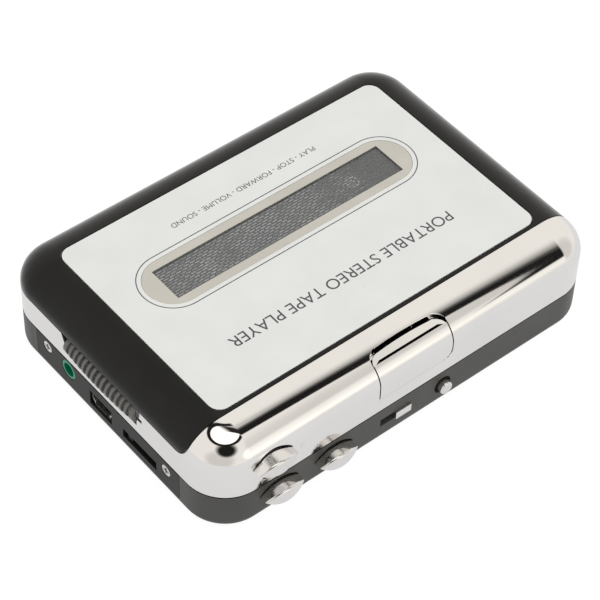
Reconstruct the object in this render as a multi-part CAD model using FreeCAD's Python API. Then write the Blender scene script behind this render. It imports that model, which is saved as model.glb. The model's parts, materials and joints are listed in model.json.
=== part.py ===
import FreeCAD, Part
import math
import os

# Pocket cassette player with a lift-up door, chrome frame and USB socket.
# Millimetres. x runs along the long side, the control face is at -y, +z is up.
# The origin is the middle of the flat bottom.

V = FreeCAD.Vector
X_AXIS = V(1, 0, 0)
Y_AXIS = V(0, 1, 0)
Z_AXIS = V(0, 0, 1)

# case
WIDTH = 112.0
DEPTH = 79.5
HEIGHT = 25.8
CORNER = 10.5
ROLL_OUT = 9.2
ROLL_DOWN = 7.0
WALL = 1.6
FOOT_FILLET = 2.5
SEAM_LOW = 10.65
SEAM_HIGH = 11.0
LIP_TOP = 12.0
LIP_INSET = 0.9
LIP_CLEARANCE = 0.1
BAND_TOP = 18.55
DOOR_BOTTOM = 18.8
FAR = 100.0

# door
DOOR_FRONT = -28.75
DOOR_ROOF = 1.6
DOOR_CORNER = 3.6
DOOR_GAP = 0.27
HINGE_Y = 37.9
HINGE_Z = 18.9
BACK_WALL_TOP = 16.8
BACK_WALL_Y = 36.0
BACK_WALL_X = 52.0
KNUCKLE_R = 1.7
KNUCKLE_X = (36.2, 40.9)
FRAME_KNUCKLE_X = (41.1, 45.4)
PIN_R = 0.8
RUNNING = 0.05

# silver panel and window
PANEL_X = 46.5
PANEL_Y = (-27.7, 31.1)
PANEL_CORNER = 3.0
PANEL_THICK = 0.6
PANEL_GAP = 0.25
PANEL_BELOW = 0.03
WINDOW_Y = 8.6
BEZEL_X = 30.6
BEZEL_R = 7.2
GLASS_X = 33.0
GLASS_HALF_Y = 4.95
HUB_X = 21.25
HUB_Y = 8.2

# cassette holder; the tape is 100.4 wide and its thin body lies at z 13.8 to 22.5
TAPE_HALF = 50.2
HOLDER_Z = (13.1, 23.0)
HOLDER_Y = (-14.0, 34.5)
HOLDER_SHEET = 0.6

# latch on the nose
LATCH_HALF = 10.8
LATCH_FOOT = 14.8
LATCH_GAP = 0.3
LATCH_PIVOT = (-33.2, 22.6)
LATCH_BACK = -33.6
LATCH_BACK_SHARE = 2.2
LATCH_CREASE = (-37.0, 23.5)
LATCH_FACET_BACK = (-33.0, 24.35)
LATCH_CORNER = 2.4
LATCH_PIN_R = 0.6

# keys on the control face
FACE_Y = -DEPTH / 2
KEY_WIDTH = 10.6
KEY_HEIGHT = 4.2
KEY_OUT = 3.4
KEY_CURVE = 13.0
KEY_EDGE = 0.6
KEY_SLOT = 0.25
KEY_ARC_SLOT = 0.4
KEY_FLANGE = 0.9
KEY_STEM_END = -36.2
STOP_KEY = (-40.8, 18.1)
PLAY_KEY = (-38.8, 7.0)
FORWARD_KEY = (-23.5, 6.8)
ROUND_KEY = (8.6, 6.2)
ROUND_R = 1.7
ROUND_HOLE_R = 2.4
ROUND_OUT = 1.7
MODE_SLOT = (-9.9, -1.0)
MODE_Z = 6.2
MODE_KNOB_HALF = 1.05
MODE_SLOT_HALF = 1.15
MODE_KNOB = (-5.7, -1.2)

# left side
SIDE_X = -WIDTH / 2
PLATE_Y = (-26.65, 27.0)
PLATE_Z = (2.6, SEAM_LOW)
PLATE_GAP = 0.12
PLATE_SCREWS = ((22.8, 8.0), (-21.7, 7.5))
JACK = (14.6, 7.6)
JACK_R = 2.65
JACK_BORE = 1.8
USB = (2.4, 6.0)
USB_SIZE = (7.7, 3.9)
USB_SKIN = 0.35
BASS_SLOT = (-18.3, -6.0)
BASS_Z = 5.5
BASS_HALF = 1.3
BASS_KNOB_HALF = 0.9
BASS_KNOB = (-10.0, -6.3)
ROLLER_Y = (-11.2, 14.6)
ROLLER_X = -54.9
ROLLER_Z = 15.9
ROLLER_R = 2.6
ROLLER_END_R = 2.1
ROLLER_AXLE_R = 0.42
ROLLER_GROOVES = 14
ROLLER_GROOVE_HALF = 0.5
ROLLER_GROOVE_DEPTH = 0.9

# mechanism
CHASSIS_Z = (10.2, 11.0)
TAPE_PEG = (36.5, -17.0)
TAPE_PEG_R = 1.5
TAPE_PEG_TOP = 16.5
CASE_SCREW = (49.0, 32.5)
POST_R = 2.6
CAPSTAN_X = 25.6
CAPSTAN_Y = -18.0
CAPSTAN_R = 1.0
FLYWHEEL_R = 12.0
FLYWHEEL_Z = (3.2, 6.2)
WHEEL_Z = (7.0, 9.0)
REEL_R = 6.8
IDLER_R = 7.6
IDLER_PIN_R = 0.8
HUB_WHEEL_R = 4.2
MOTOR = (36.0, 24.5)
MOTOR_R = 10.4
MOTOR_Z = (5.9, 10.1)
PULLEY_R = 2.4
BELT_Z = (4.2, 5.2)
BELT_THICK = 0.8
BELT_GAP = 0.3
BRIDGE_Z = (11.3, 12.0)
BRIDGE_Y = (-36.4, -28.4)
HEAD_FACE = -28.0
PINCH_Y = -30.3
PINCH_R = 3.0
CELL_BOX = (-41.4, 8.6, 15.3, 38.0)
CELL_WALL = 0.8
CELL_TOP = 13.0
CELL_Y = (21.6, 32.2)
BOARD_Z = (3.0, 4.0)
CONTROL_BOARD_Y = (-33.0, -32.0)


def box(x0, x1, y0, y1, z0, z1):
    return Part.makeBox(x1 - x0, y1 - y0, z1 - z0, V(x0, y0, z0))


def rod(radius, start, end):
    direction = V(*end) - V(*start)
    return Part.makeCylinder(radius, direction.Length, V(*start), direction)


def post(radius, x, y, z0, z1):
    return rod(radius, (x, y, z0), (x, y, z1))


def joined(shapes):
    return shapes[0].fuse(shapes[1:]).removeSplitter()


def rounded_slab(half_x, y0, y1, radius, z0, z1):
    slab = box(-half_x, half_x, y0, y1, z0, z1)
    uprights = [e for e in slab.Edges if abs(e.tangentAt(e.FirstParameter).z) > 0.9]
    return slab.makeFillet(radius, uprights)


def case_block(inset, z0, z1):
    half_depth = DEPTH / 2 - inset
    return rounded_slab(WIDTH / 2 - inset, -half_depth, half_depth, CORNER - inset, z0, z1)


def roll_profile(inset, z0, reach):
    """Half section of the rounded case: flat top, quarter ellipse, straight side."""
    top = HEIGHT - inset
    spring_line = HEIGHT - ROLL_DOWN
    outer = reach - inset
    inner = reach - ROLL_OUT
    ellipse = Part.Ellipse(V(outer, 0, spring_line), V(inner, 0, top), V(inner, 0, spring_line))
    edges = [
        Part.LineSegment(V(0, 0, z0), V(outer, 0, z0)).toShape(),
        Part.LineSegment(V(outer, 0, z0), V(outer, 0, spring_line)).toShape(),
        Part.Arc(ellipse, 0, math.pi / 2).toShape(),
        Part.LineSegment(V(inner, 0, top), V(0, 0, top)).toShape(),
        Part.LineSegment(V(0, 0, top), V(0, 0, z0)).toShape(),
    ]
    return Part.Face(Part.Wire(edges))


def pillow(inset, z0):
    """The whole case outline with its rounded top edge, shrunk by inset."""
    corner_x = WIDTH / 2 - CORNER
    corner_y = DEPTH / 2 - CORNER
    corner_face = roll_profile(inset, z0, CORNER)
    pieces = [box(-corner_x, corner_x, -corner_y, corner_y, z0, HEIGHT - inset)]
    sides = (
        (0, V(corner_x, -corner_y, 0), Y_AXIS * (2 * corner_y)),
        (90, V(corner_x, corner_y, 0), X_AXIS * (-2 * corner_x)),
        (180, V(-corner_x, corner_y, 0), Y_AXIS * (-2 * corner_y)),
        (270, V(-corner_x, -corner_y, 0), X_AXIS * (2 * corner_x)),
    )
    for turn, start, run in sides:
        face = corner_face.copy()
        face.rotate(V(0, 0, 0), Z_AXIS, turn)
        face.translate(start)
        pieces.append(face.extrude(run))
        pieces.append(face.revolve(start, Z_AXIS, -90))
    return joined(pieces)


def build_case_screws():
    return [cross_recess(case_screw(x, y, 0), x, y, 0.2, Z_AXIS) for x, y in case_screw_points()]


def build_port_plate_screws():
    return [cross_recess(plate_screw(y, z, 0), SIDE_X + 0.1, y, z, X_AXIS) for y, z in PLATE_SCREWS]


def door_envelope(gap):
    """Space of the door, grown by gap; its lower front edge is rounded."""
    space = box(-FAR, FAR, DOOR_FRONT - gap, FAR, DOOR_BOTTOM - gap, FAR)
    front = [e for e in space.Edges
             if e.BoundBox.YMax < DOOR_FRONT + 1 and e.BoundBox.ZMax < DOOR_BOTTOM + 1]
    return space.makeFillet(DOOR_CORNER + gap, front)


def case_shell():
    """Outer skin of the upper case, one wall thick."""
    return pillow(0, SEAM_HIGH).cut(pillow(WALL, SEAM_HIGH - 1))


def stadium(centre_x, radius, z0, z1):
    """Flat slab with round ends, centred on the window."""
    body = box(-centre_x, centre_x, WINDOW_Y - radius, WINDOW_Y + radius, z0, z1)
    ends = [post(radius, side * centre_x, WINDOW_Y, z0, z1) for side in (-1, 1)]
    return joined([body] + ends)


def lens_prism(x, z, width, rise, drop, y0, y1):
    """Eye-shaped bar along y: two arcs that meet at its tips, rise above z and drop below it."""
    left = V(x - width / 2, y0, z)
    right = V(x + width / 2, y0, z)
    top = Part.Arc(left, V(x, y0, z + rise), right).toShape()
    bottom = Part.Arc(right, V(x, y0, z - drop), left).toShape()
    return Part.Face(Part.Wire([top, bottom])).extrude(Y_AXIS * (y1 - y0))


def countersunk(point, direction, head_r, shank_r, length, grow):
    """Countersunk screw whose head starts at point; grow makes the hole for it."""
    start = V(*point)
    cone_depth = head_r - shank_r
    cone = Part.makeCone(head_r + grow, shank_r + grow, cone_depth, start, direction)
    shank = Part.makeCylinder(shank_r + grow, length + grow, start, direction)
    return joined([cone, shank])


def coil(radius, wire, turns, start, direction, length):
    """Compression spring of square wire; wire is half its width."""
    helix = Part.makeHelix(length / turns, length, radius)
    corners = [V(radius + a * wire, 0, b * wire) for a, b in ((-1, -1), (1, -1), (1, 1), (-1, 1), (-1, -1))]
    section = Part.makePolygon(corners)
    spring = Part.Wire(helix).makePipeShell([section], True, True)
    spring.Placement = FreeCAD.Placement(V(*start), FreeCAD.Rotation(Z_AXIS, direction))
    return spring


def save(name, shapes):
    solids = shapes if isinstance(shapes, list) else [shapes]
    shape = solids[0] if len(solids) == 1 else Part.makeCompound(solids)
    if not shape.isValid() or any(len(s.Solids) != 1 for s in solids):
        print("CHECK", name, shape.isValid(), [len(s.Solids) for s in solids])
    shape.exportStep("parts/" + name + ".step")


# ---------------------------------------------------------------- lower case

def key_opening(x, z, y0, y1):
    """Hole for a key, taller above it, where its dark arc-shaped slot shows."""
    half = KEY_HEIGHT / 2 + KEY_SLOT
    return lens_prism(x, z, KEY_WIDTH + 2 * KEY_SLOT, half + KEY_ARC_SLOT, half, y0, y1)


def case_screw_points():
    return [(sx * CASE_SCREW[0], sy * CASE_SCREW[1]) for sx in (-1, 1) for sy in (-1, 1)]


def case_screw(x, y, grow):
    return countersunk((x, y, 0.2), Z_AXIS, 1.9, 0.95, 10.9, grow)


def plate_screw(y, z, grow):
    return countersunk((SIDE_X + 0.1, y, z), X_AXIS, 1.5, 0.7, 5.0, grow)


def cross_recess(screw, x, y, z, direction):
    """Cuts a cross-head recess into a screw head at a point, along direction."""
    blades = [box(-0.9, 0.9, -0.22, 0.22, 0, 0.7), box(-0.22, 0.22, -0.9, 0.9, 0, 0.7)]
    cross = joined(blades)
    cross.Placement = FreeCAD.Placement(V(x, y, z), FreeCAD.Rotation(Z_AXIS, direction))
    return screw.cut(cross)


def build_rear_housing():
    outer = case_block(0, 0, SEAM_LOW)
    floor_edges = [e for e in outer.Edges if e.BoundBox.ZMax < 0.01]
    outer = outer.makeFillet(FOOT_FILLET, floor_edges)
    lip = case_block(LIP_INSET, SEAM_LOW - 1, LIP_TOP)
    housing = joined([outer, lip]).cut(case_block(WALL, WALL, LIP_TOP + 1))
    adds = [post(POST_R, x, y, WALL - 0.5, CHASSIS_Z[0]) for x, y in case_screw_points()]
    for y, z in PLATE_SCREWS:
        adds.append(box(SIDE_X + WALL + 0.1, -50.2, y - 2.4, y + 2.4, WALL - 0.5, CHASSIS_Z[0] - 0.1))
    for side in (-1, 1):
        adds.append(post(2.6, side * CAPSTAN_X, CAPSTAN_Y, WALL - 0.5, 2.7))
    for x, y in ((-47.0, -14.0), (-47.0, 18.0)):
        adds.append(post(1.5, x, y, WALL - 0.5, BOARD_Z[0]))
    housing = joined([housing] + adds)
    cuts = [box(SIDE_X - 1, SIDE_X + WALL, PLATE_Y[0], PLATE_Y[1], PLATE_Z[0], PLATE_Z[1])]
    cuts += [case_screw(x, y, 0.05) for x, y in case_screw_points()]
    cuts += [post(2.0, x, y, -1, 0.3) for x, y in case_screw_points()]
    cuts += [rod(0.75, (SIDE_X, y, z), (SIDE_X + 5.3, y, z)) for y, z in PLATE_SCREWS]
    cuts += [post(CAPSTAN_R + RUNNING, side * CAPSTAN_X, CAPSTAN_Y, 1.9, 4) for side in (-1, 1)]
    x0, x1, y0, y1 = CELL_BOX
    cuts.append(box(x0 + CELL_WALL, x1 - CELL_WALL, y0 + CELL_WALL, y1 - CELL_WALL - 0.6, -1, WALL + 1))
    for key in (PLAY_KEY, FORWARD_KEY):
        cuts.append(key_opening(key[0], key[1], FACE_Y - 1, FACE_Y + WALL + 0.1))
    cuts.append(box(MODE_SLOT[0], MODE_SLOT[1], FACE_Y - 1, FACE_Y + WALL + 0.1,
                    MODE_Z - MODE_SLOT_HALF, MODE_Z + MODE_SLOT_HALF))
    cuts.append(rod(ROUND_HOLE_R, (ROUND_KEY[0], FACE_Y - 1, ROUND_KEY[1]),
                    (ROUND_KEY[0], FACE_Y + WALL + 0.1, ROUND_KEY[1])))
    return housing.cut(cuts)


def build_battery_box():
    x0, x1, y0, y1 = CELL_BOX
    inside = box(x0 + CELL_WALL, x1 - CELL_WALL, y0 + CELL_WALL, y1 - CELL_WALL + 0.2, 0, CELL_TOP - 0.5)
    return box(x0, x1, y0, y1, WALL, CELL_TOP).cut(inside)


def build_battery_cover():
    x0, x1, y0, y1 = CELL_BOX
    gap = CELL_WALL + 0.2
    cover = box(x0 + gap, x1 - gap, y0 + gap, y1 - gap - 0.6, 0, WALL - 0.1)
    ribs = [box(x0 + 4, x0 + 10, y, y + 0.6, -1, 0.3) for y in (20.0, 22.0, 24.0, 26.0, 28.0, 30.0)]
    return cover.cut(ribs)


def build_battery_springs():
    x = CELL_BOX[0] + CELL_WALL + 0.3
    return [coil(2.6, 0.25, 3, (x + 0.3, y, 7.0), X_AXIS, 2.2) for y in CELL_Y]


def build_battery_plates():
    left = CELL_BOX[0] + CELL_WALL
    right = CELL_BOX[1] - CELL_WALL
    plates = []
    for y in CELL_Y:
        plates.append(box(left, left + 0.3, y - 4.0, y + 4.0, 3.0, 11.0))
        plates.append(box(right - 0.3, right, y - 4.0, y + 4.0, 3.0, 11.0))
    return plates


# ---------------------------------------------------------------- left side

def build_port_plate():
    plate = box(SIDE_X, SIDE_X + WALL - 0.1, PLATE_Y[0] + PLATE_GAP, PLATE_Y[1] - PLATE_GAP,
                PLATE_Z[0] + PLATE_GAP, PLATE_Z[1] - PLATE_GAP)
    cuts = [plate_screw(y, z, 0.05) for y, z in PLATE_SCREWS]
    cuts += [rod(1.65, (SIDE_X - 1, y, z), (SIDE_X + 0.15, y, z)) for y, z in PLATE_SCREWS]
    cuts.append(rod(JACK_R, (SIDE_X - 1, JACK[0], JACK[1]), (SIDE_X + 3, JACK[0], JACK[1])))
    half_y = USB_SIZE[0] / 2 + 0.25
    half_z = USB_SIZE[1] / 2 + 0.25
    cuts.append(box(SIDE_X - 1, SIDE_X + 3, USB[0] - half_y, USB[0] + half_y,
                    USB[1] - half_z, USB[1] + half_z))
    cuts.append(box(SIDE_X - 1, SIDE_X + 3, BASS_SLOT[0], BASS_SLOT[1],
                    BASS_Z - BASS_HALF, BASS_Z + BASS_HALF))
    return plate.cut(cuts)


def build_headphone_jack():
    tube = rod(JACK_R, (SIDE_X + 0.05, JACK[0], JACK[1]), (SIDE_X + 3.0, JACK[0], JACK[1]))
    rim = [e for e in tube.Edges if abs(e.BoundBox.XMax - SIDE_X - 0.05) < 0.01]
    tube = tube.makeFillet(0.3, rim)
    return tube.cut(rod(JACK_BORE, (SIDE_X - 1, JACK[0], JACK[1]), (SIDE_X + 4, JACK[0], JACK[1])))


def build_jack_body():
    body = box(SIDE_X + 3.0, SIDE_X + 14.2, JACK[0] - 3.2, JACK[0] + 3.2, BOARD_Z[1], 10.1)
    return body.cut(rod(JACK_BORE, (SIDE_X, JACK[0], JACK[1]), (SIDE_X + 13.4, JACK[0], JACK[1])))


def usb_outline(inset, x0, x1):
    """Mini-USB outline: a box with its two lower corners cut off."""
    half = USB_SIZE[0] / 2 - inset
    top = USB[1] + USB_SIZE[1] / 2 - inset
    low = USB[1] - USB_SIZE[1] / 2 + inset
    step = 0.9
    points = [(half, top), (-half, top), (-half, low + 1.6), (-half + step, low + 0.9),
              (-half + step, low), (half - step, low), (half - step, low + 0.9), (half, low + 1.6)]
    corners = [V(x0, USB[0] + y, z) for y, z in points]
    return Part.Face(Part.makePolygon(corners + corners[:1])).extrude(X_AXIS * (x1 - x0))


def build_usb_shell():
    front = SIDE_X + 0.5
    return usb_outline(0, front, front + 9.0).cut(usb_outline(USB_SKIN, front - 1, front + 8.6))


def build_usb_tongue():
    front = SIDE_X + 1.3
    return box(front, SIDE_X + 9.0, USB[0] - 2.3, USB[0] + 2.3, USB[1] + 0.2, USB[1] + 0.9)


def build_bass_switch():
    front = SIDE_X + WALL + 0.6
    body = box(front, front + 4.0, BASS_SLOT[0] - 0.3, BASS_SLOT[1] + 0.6, BOARD_Z[1], 7.6)
    hollow = BASS_KNOB_HALF + RUNNING
    return body.cut(box(SIDE_X, front + 1.6, BASS_SLOT[0] + 0.2, BASS_SLOT[1] - 0.2,
                        BASS_Z - hollow, BASS_Z + hollow))


def build_bass_knob():
    low = BASS_Z - BASS_KNOB_HALF
    high = BASS_Z + BASS_KNOB_HALF
    foot = box(SIDE_X + 1.2, SIDE_X + WALL + 2.0, BASS_KNOB[0], BASS_KNOB[1], low, high)
    ridge_y = (BASS_KNOB[0] + BASS_KNOB[1]) / 2
    ridge = box(SIDE_X + 0.5, SIDE_X + 1.3, ridge_y - 0.8, ridge_y + 0.8, low, high)
    return joined([foot, ridge])


def build_volume_roller():
    """Crowned thumb roller with grooves round it, on an axle along y."""
    y0, y1 = ROLLER_Y
    middle = (y0 + y1) / 2
    crown = Part.Arc(V(ROLLER_END_R, y0, 0), V(ROLLER_R, middle, 0), V(ROLLER_END_R, y1, 0)).toShape()
    sides = Part.makePolygon([V(ROLLER_END_R, y1, 0), V(0, y1, 0), V(0, y0, 0), V(ROLLER_END_R, y0, 0)])
    barrel = Part.Face(Part.Wire([crown] + sides.Edges)).revolve(V(0, 0, 0), Y_AXIS, 360)
    pitch = (y1 - y0) / (ROLLER_GROOVES + 1)
    cuts = []
    for n in range(1, ROLLER_GROOVES + 1):
        y = y0 + n * pitch
        ring = rod(ROLLER_R + 1, (0, y - ROLLER_GROOVE_HALF, 0), (0, y + ROLLER_GROOVE_HALF, 0))
        cuts.append(ring.cut(rod(ROLLER_R - ROLLER_GROOVE_DEPTH, (0, y - 1, 0), (0, y + 1, 0))))
    barrel = barrel.cut(cuts)
    axle = rod(ROLLER_AXLE_R, (0, y0 - 1.9, 0), (0, y1 + 2.0, 0))
    roller = joined([barrel, axle])
    roller.translate(V(ROLLER_X, 0, ROLLER_Z))
    return roller


def build_volume_pot():
    y0 = ROLLER_Y[1] + 0.8
    pot = box(SIDE_X + 0.6, -51.6, y0, y0 + 4.8, 13.3, 18.4)
    hole = rod(ROLLER_AXLE_R + RUNNING, (ROLLER_X, y0 - 1, ROLLER_Z), (ROLLER_X, y0 + 1.5, ROLLER_Z))
    return pot.cut(hole)


def build_circuit_board():
    board = box(-53.8, -41.7, -18.8, 19.8, BOARD_Z[0], BOARD_Z[1])
    return board


def build_audio_chips():
    z = BOARD_Z[1]
    return [box(-46.3, -42.0, -3.0, 2.0, z, z + 1.2), box(-46.0, -42.0, -12.5, -7.5, z, z + 1.0)]


def build_capacitors():
    z = BOARD_Z[1]
    spots = ((-44.0, 6.0), (-44.0, -16.0), (-48.5, -3.5))
    return [post(1.6, x, y, z, z + 4.4) for x, y in spots]


# ---------------------------------------------------------------- chrome frame

def latch_plan(gap):
    """Plan of the latch: straight sides, rounded shoulders, arched back edge."""
    half = LATCH_HALF - gap
    back = LATCH_BACK - gap * LATCH_BACK_SHARE
    points = {
        "front_left": V(-half, FACE_Y - 1.5, 0),
        "side_left": V(-half, back - 2.8, 0),
        "round_left": V(-half + 0.9, back - 1.1, 0),
        "arch_left": V(-half + 3.0, back - 0.3, 0),
        "arch_top": V(0, back, 0),
        "arch_right": V(half - 3.0, back - 0.3, 0),
        "round_right": V(half - 0.9, back - 1.1, 0),
        "side_right": V(half, back - 2.8, 0),
        "front_right": V(half, FACE_Y - 1.5, 0),
    }
    p = points
    edges = [
        Part.LineSegment(p["front_left"], p["side_left"]).toShape(),
        Part.Arc(p["side_left"], p["round_left"], p["arch_left"]).toShape(),
        Part.Arc(p["arch_left"], p["arch_top"], p["arch_right"]).toShape(),
        Part.Arc(p["arch_right"], p["round_right"], p["side_right"]).toShape(),
        Part.LineSegment(p["side_right"], p["front_right"]).toShape(),
        Part.LineSegment(p["front_right"], p["front_left"]).toShape(),
    ]
    face = Part.Face(Part.Wire(edges))
    return face.extrude(Z_AXIS * (HEIGHT + 2))


def latch_corner(gap):
    """Space outside the rounded lower corner, running inwards along the sloping foot."""
    y = FACE_Y - 1.5
    foot = LATCH_FOOT + gap + 1.5
    side = LATCH_HALF - gap
    start = V(side - LATCH_CORNER, y, foot)
    bulge = LATCH_CORNER * (1 - math.sqrt(0.5))
    end = V(side, y, foot + LATCH_CORNER)
    arc = Part.Arc(start, V(side - bulge, y, foot + bulge), end).toShape()
    outside = [end, V(side + 1, y, foot + LATCH_CORNER), V(side + 1, y, foot - 1),
               V(start.x, y, foot - 1), start]
    wire = Part.Wire([arc] + Part.makePolygon(outside).Edges)
    return Part.Face(wire).extrude(V(0, 8, -8))


def latch_block(gap):
    """Space of the latch; its foot slopes down inwards so that it can tilt in.

    The lower corner on the +x side is rounded."""
    foot = LATCH_FOOT + gap
    outside = FACE_Y - 1.5
    inside = -30.0
    drop = 5.0
    corners = [
        V(-LATCH_HALF, outside, foot + 1.5),
        V(-LATCH_HALF, FACE_Y + drop, foot - drop),
        V(-LATCH_HALF, inside, foot - drop),
        V(-LATCH_HALF, inside, HEIGHT + 1),
        V(-LATCH_HALF, outside, HEIGHT + 1),
    ]
    wedge = Part.Face(Part.makePolygon(corners + corners[:1])).extrude(X_AXIS * (2 * LATCH_HALF))
    return latch_plan(gap).common(wedge).cut(latch_corner(gap))


def hinge_knuckle(x0, x1, radius, rise):
    """Barrel round the hinge line with a neck that reaches rise above or below it."""
    barrel = rod(radius, (x0, HINGE_Y, HINGE_Z), (x1, HINGE_Y, HINGE_Z))
    low = min(HINGE_Z, HINGE_Z + rise)
    high = max(HINGE_Z, HINGE_Z + rise)
    neck = box(x0, x1, HINGE_Y - radius, HINGE_Y + radius, low, high)
    return joined([barrel, neck])


def build_chrome_frame():
    shell = case_shell()
    frame = shell.cut(door_envelope(DOOR_GAP))
    rebate = case_block(LIP_INSET - LIP_CLEARANCE, SEAM_HIGH - 1, LIP_TOP + LIP_CLEARANCE)
    lowered = box(-BACK_WALL_X, BACK_WALL_X, BACK_WALL_Y, FAR, BACK_WALL_TOP, FAR)
    frame = frame.cut([rebate, lowered, latch_block(0)])
    adds = []
    for side in (-1, 1):
        x0, x1 = sorted((side * FRAME_KNUCKLE_X[0], side * FRAME_KNUCKLE_X[1]))
        adds.append(hinge_knuckle(x0, x1, KNUCKLE_R, BACK_WALL_TOP - 1 - HINGE_Z))
        x0, x1 = sorted((side * 11.3, side * 12.6))
        ear = box(x0, x1, -34.4, -31.8, 21.4, HEIGHT)
        adds.append(ear.common(pillow(0.4, SEAM_HIGH)))
    frame = joined([frame] + adds)
    cuts = [box(SIDE_X - 1, SIDE_X + WALL + 0.1, ROLLER_Y[0] - 0.2, ROLLER_Y[1] + 0.2, 13.2, FAR)]
    cuts.append(box(SIDE_X + 0.5, SIDE_X + WALL + 0.1, ROLLER_Y[1], ROLLER_Y[1] + 5.8, 13.1, FAR))
    cuts.append(box(SIDE_X - 1, SIDE_X + WALL + 0.1, ROLLER_Y[0] - 2.1, ROLLER_Y[0],
                    ROLLER_Z - 0.5, ROLLER_Z + 0.5))
    notch = [V(SIDE_X - 1, ROLLER_Y[1], ROLLER_Z - 0.5), V(SIDE_X - 1, ROLLER_Y[1] + 0.7, ROLLER_Z - 0.5),
             V(SIDE_X - 1, ROLLER_Y[1] + 2.4, BAND_TOP + 1), V(SIDE_X - 1, ROLLER_Y[1], BAND_TOP + 1)]
    cuts.append(Part.Face(Part.makePolygon(notch + notch[:1])).extrude(X_AXIS * (WALL + 1.1)))
    cuts.append(key_opening(STOP_KEY[0], STOP_KEY[1], FACE_Y - 1, FACE_Y + 2.6))
    for side in (-1, 1):
        cuts.append(rod(PIN_R, (side * 41.0, HINGE_Y, HINGE_Z), (side * 45.0, HINGE_Y, HINGE_Z)))
        cuts.append(rod(LATCH_PIN_R, (side * 11.0, *LATCH_PIVOT), (side * 13.0, *LATCH_PIVOT)))
    return frame.cut(cuts)


def latch_facet():
    """Space above the flat upper facet of the latch, behind its crease."""
    crease_y, crease_z = LATCH_CREASE
    back_y, back_z = LATCH_FACET_BACK
    corners = [V(-LATCH_HALF, crease_y, crease_z), V(-LATCH_HALF, back_y, back_z),
               V(-LATCH_HALF, back_y, HEIGHT + 1), V(-LATCH_HALF, crease_y, HEIGHT + 1)]
    return Part.Face(Part.makePolygon(corners + corners[:1])).extrude(X_AXIS * 2 * LATCH_HALF)


def latch_web():
    """Thickening under the facet, so that the skin keeps its strength there."""
    web = box(-LATCH_HALF + 0.4, LATCH_HALF - 0.4, -38.0, LATCH_BACK, 21.9, HEIGHT)
    return web.common(pillow(0.8, SEAM_HIGH))


def build_latch_button():
    skin = case_shell().fuse(latch_web()).common(latch_block(LATCH_GAP))
    lugs = []
    for side in (-1, 1):
        x0, x1 = sorted((side * 8.3, side * 9.9))
        root = box(x0, x1, -36.0, LATCH_BACK - LATCH_GAP, 21.5, HEIGHT)
        lugs.append(root.common(pillow(0.8, SEAM_HIGH)).common(latch_block(LATCH_GAP)))
        lugs.append(box(x0, x1, -35.0, -32.1, 21.5, 23.4))
    catch = box(-3.0, 3.0, -36.5, -31.0, 21.0, 21.9)
    stem = box(-3.0, 3.0, -37.2, -35.6, 21.0, HEIGHT).common(pillow(0.8, SEAM_HIGH))
    button = joined([skin, catch, stem] + lugs)
    holes = [rod(LATCH_PIN_R + RUNNING, (side * 8.0, *LATCH_PIVOT), (side * 11.0, *LATCH_PIVOT))
             for side in (-1, 1)]
    return button.cut(holes + [latch_facet()])


def build_latch_pins():
    return [rod(LATCH_PIN_R, (side * 8.3, *LATCH_PIVOT), (side * 12.6, *LATCH_PIVOT)) for side in (-1, 1)]


def build_latch_spring():
    return coil(1.1, 0.2, 4, (9.2, -37.9, 16.8), Y_AXIS, 2.2)


def build_latch_bracket():
    return box(8.0, 10.6, -35.4, -34.8, CHASSIS_Z[1], 19.0)


# ---------------------------------------------------------------- keys and switches

def key(x, z):
    """Chrome key: eye-shaped cap with a bowed face, retaining flange inside, stem behind."""
    front = FACE_Y - KEY_OUT
    half = KEY_HEIGHT / 2
    cap = lens_prism(x, z, KEY_WIDTH, half, half, front, -37.9)
    bow = post(KEY_CURVE, x, front + KEY_CURVE, z - 4, z + 4)
    cap = cap.common(bow)
    rim = [e for e in cap.Edges if e.BoundBox.YMax < FACE_Y and e.BoundBox.XLength > 2]
    cap = cap.makeFillet(KEY_EDGE, rim)
    flange = lens_prism(x, z, KEY_WIDTH + 0.2, half + KEY_FLANGE, half + KEY_FLANGE, -37.9, -37.1)
    flange = flange.common(pillow(WALL + 0.15, FOOT_FILLET))
    stem = rod(1.0, (x, -37.2, z), (x, KEY_STEM_END, z))
    return joined([cap, flange, stem])


def build_round_key():
    x, z = ROUND_KEY
    cap = rod(ROUND_R, (x, FACE_Y - ROUND_OUT, z), (x, -37.9, z))
    rim = [e for e in cap.Edges if e.BoundBox.YMax < FACE_Y - ROUND_OUT + 0.01]
    cap = cap.makeFillet(0.5, rim)
    flange = rod(3.0, (x, -37.9, z), (x, -37.1, z))
    stem = rod(1.0, (x, -37.2, z), (x, KEY_STEM_END, z))
    return joined([cap, flange, stem])


def build_key_springs():
    springs = []
    for x, z in (PLAY_KEY, FORWARD_KEY, ROUND_KEY, STOP_KEY):
        springs.append(coil(1.6, 0.22, 5, (x, -36.7, z), Y_AXIS, 3.4))
    return springs


def build_control_board():
    return box(-44.0, 14.0, CONTROL_BOARD_Y[0], CONTROL_BOARD_Y[1], 2.0, 9.9)


def build_key_switches():
    y = CONTROL_BOARD_Y[0]
    return [rod(1.1, (x, y - 0.9, z), (x, y, z)) for x, z in (PLAY_KEY, FORWARD_KEY, ROUND_KEY)]


def build_stop_bracket():
    x0 = STOP_KEY[0] - 4.5
    x1 = STOP_KEY[0] + 4.5
    foot = box(x0, x1, CONTROL_BOARD_Y[0], -30.0, CHASSIS_Z[1], CHASSIS_Z[1] + 0.8)
    wall = box(x0, x1, CONTROL_BOARD_Y[0], CONTROL_BOARD_Y[1], CHASSIS_Z[1], STOP_KEY[1] + 2.2)
    return joined([foot, wall])


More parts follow.
